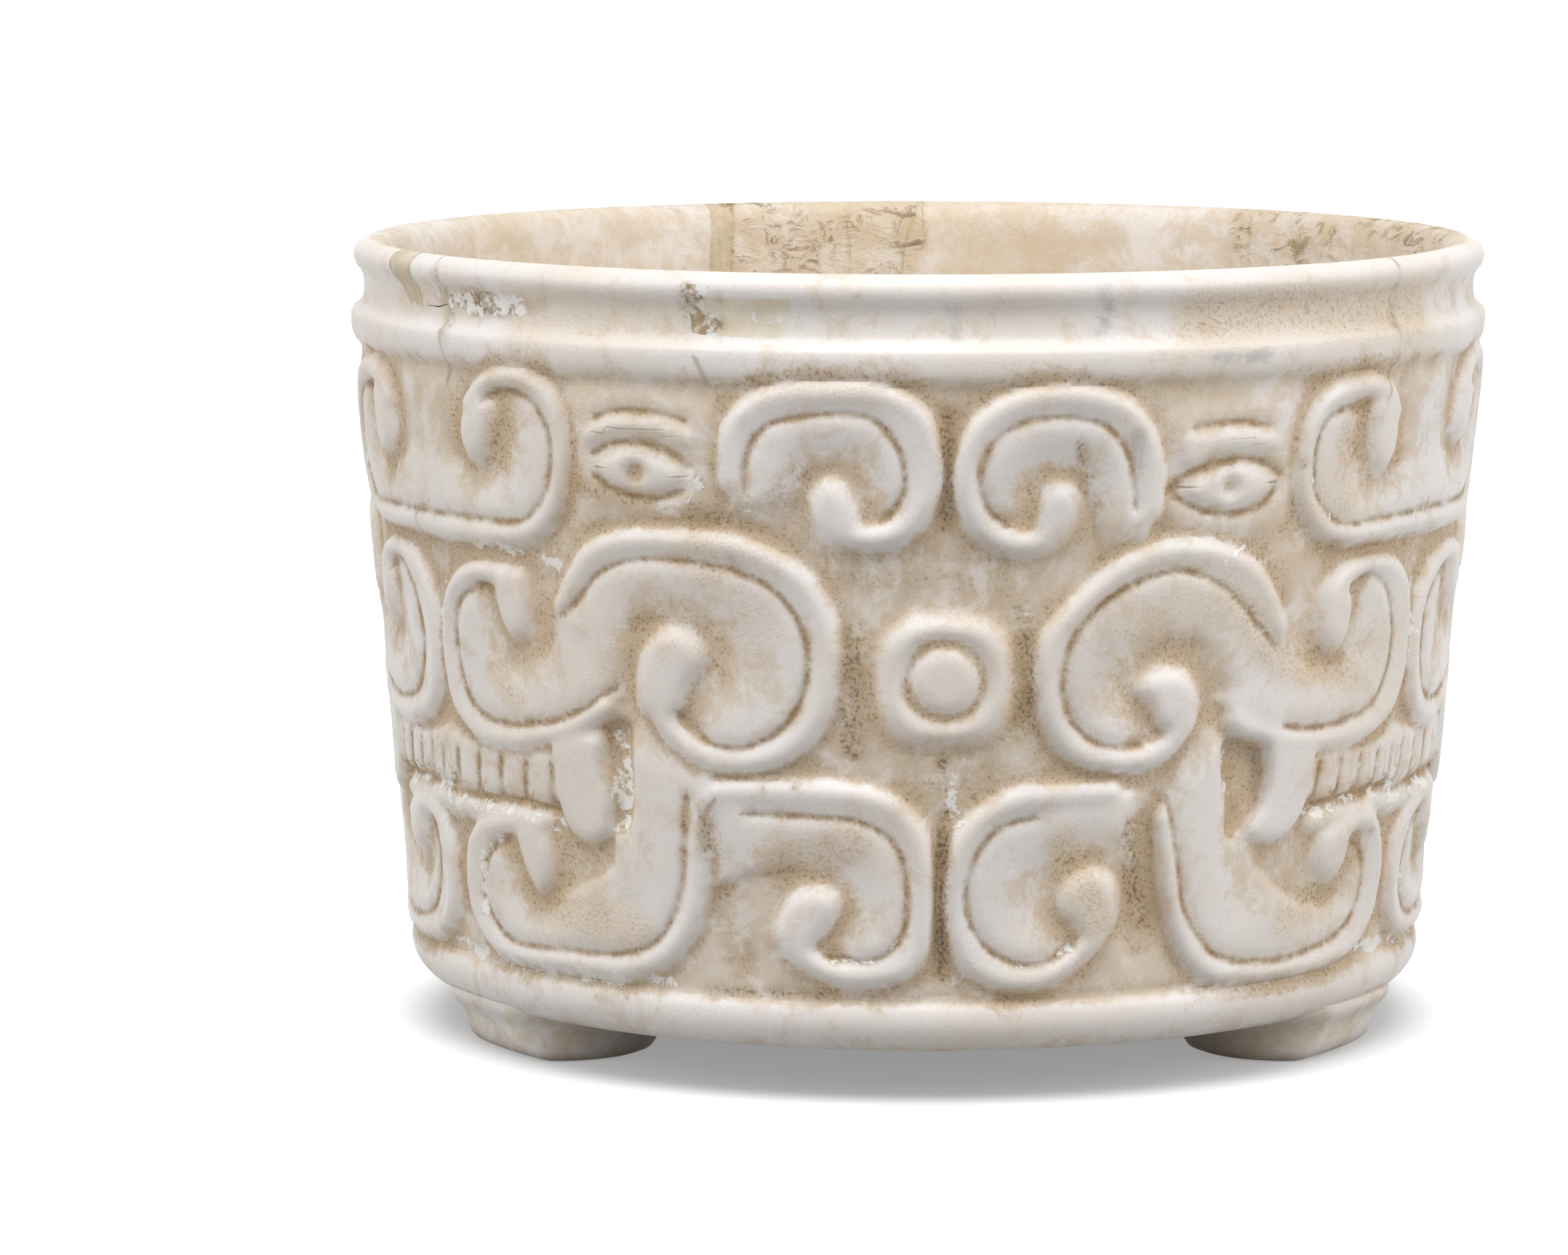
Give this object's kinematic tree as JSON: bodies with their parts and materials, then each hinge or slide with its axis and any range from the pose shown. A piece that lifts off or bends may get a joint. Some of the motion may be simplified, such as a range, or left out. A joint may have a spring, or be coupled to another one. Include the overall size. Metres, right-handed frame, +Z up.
{
  "type": "carved bowl",
  "caption": "Round carved marble bowl with tapered wall, raised scroll and mask relief, banded rim and low disc feet, mended from sherds with fillers.",
  "frame": {"origin": "on the resting plane, on the bowl's turning axis", "axes": "+Z up along the turning axis, front of the carving at -Y, +X to the viewer's right"},
  "size_m": [0.117, 0.117, 0.081],
  "materials": {
    "marble": "polished, worn",
    "grey_plaster": "matt",
    "granular_filler": "matt, granular",
    "toned_plaster": "matt, scratched"
  },
  "bodies": {
    "root": {"bowl_body": "marble", "left_wall_sherd": "marble", "right_wall_sherd": "marble", "rear_wall_sherd": "marble", "rear_splinter": "marble", "rim_sherd": "marble", "rear_filler_strip": "grey_plaster", "rim_filler": "grey_plaster", "chip_filler": "granular_filler", "neck_patch": "toned_plaster"}
  },
  "joints": []
}
